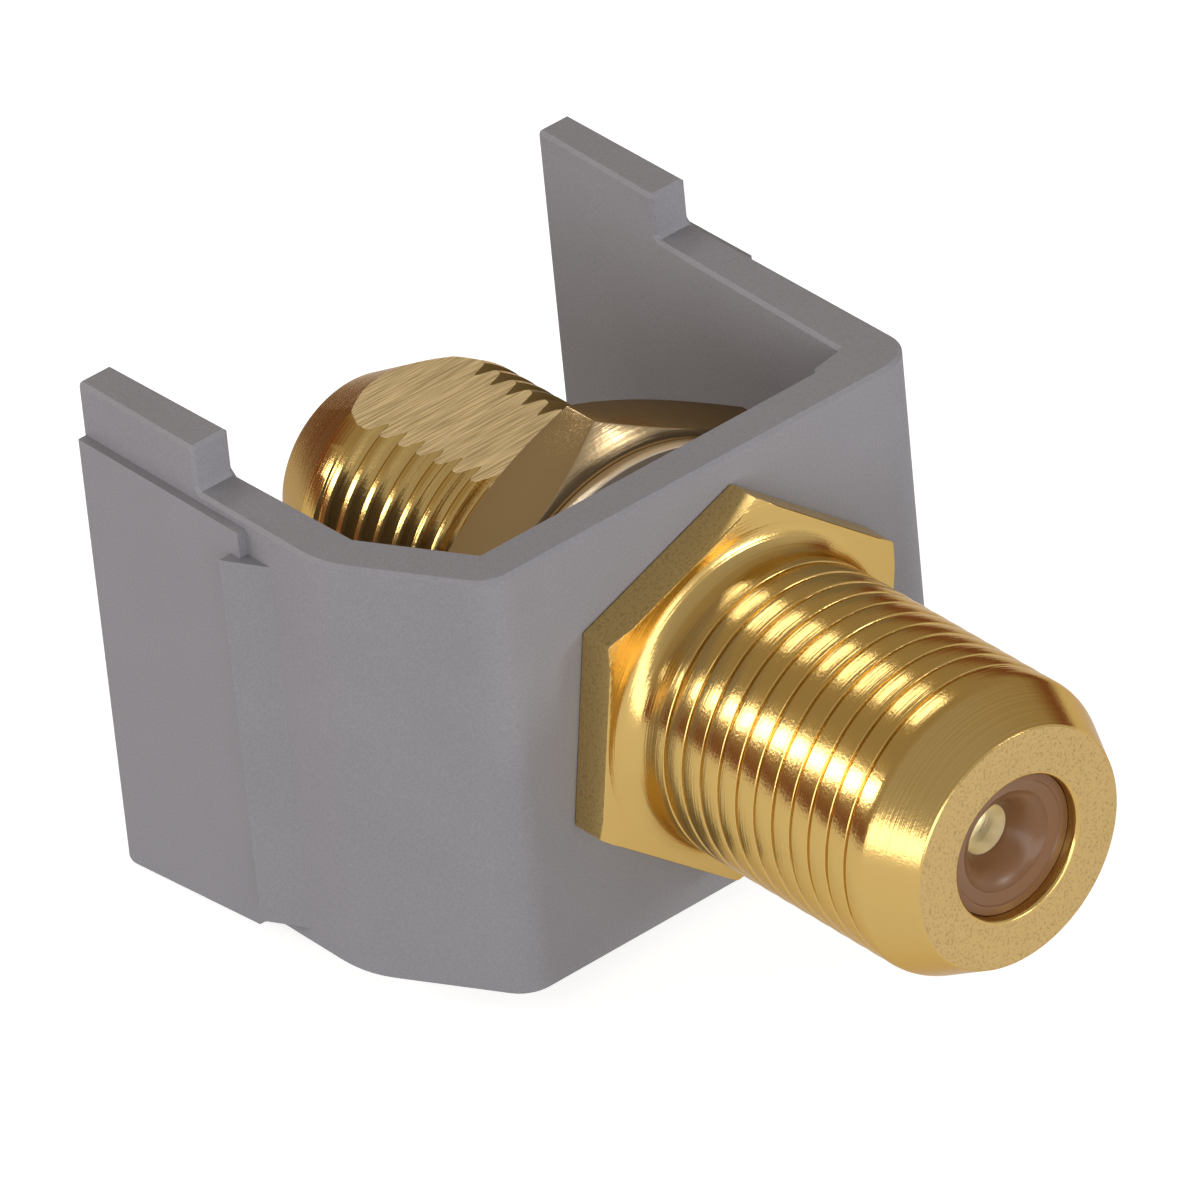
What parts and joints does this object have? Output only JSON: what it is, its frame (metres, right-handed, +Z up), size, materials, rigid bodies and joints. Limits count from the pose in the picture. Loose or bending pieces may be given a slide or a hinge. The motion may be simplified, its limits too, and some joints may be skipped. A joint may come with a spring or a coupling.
{
  "type": "f connector",
  "caption": "Gold-plated F coupler clamped by a hex nut in a grey snap-in bracket, with a threaded socket at each end.",
  "frame": {"origin": "where the coupler's axis meets the outer face of the bracket's front wall", "axes": "+Y along the coupler's axis towards the rear, -Y out of the front port, +Z up, +X right seen from the front"},
  "size_m": [0.021, 0.0299, 0.0172],
  "materials": {
    "grey_plastic": "fine matte grain",
    "gold_plate": "bright plating over turned brass",
    "insulator_plastic": "smooth, slightly translucent",
    "contact_metal": "plated",
    "washer_metal": "brushed plating",
    "nut_metal": "brushed plating"
  },
  "bodies": {
    "root": {"bracket": "grey_plastic", "coupler_shell": "gold_plate", "front_insulator": "insulator_plastic", "rear_insulator": "insulator_plastic", "centre_contact": "contact_metal", "washer": "washer_metal", "hex_nut": "nut_metal"}
  },
  "joints": []
}
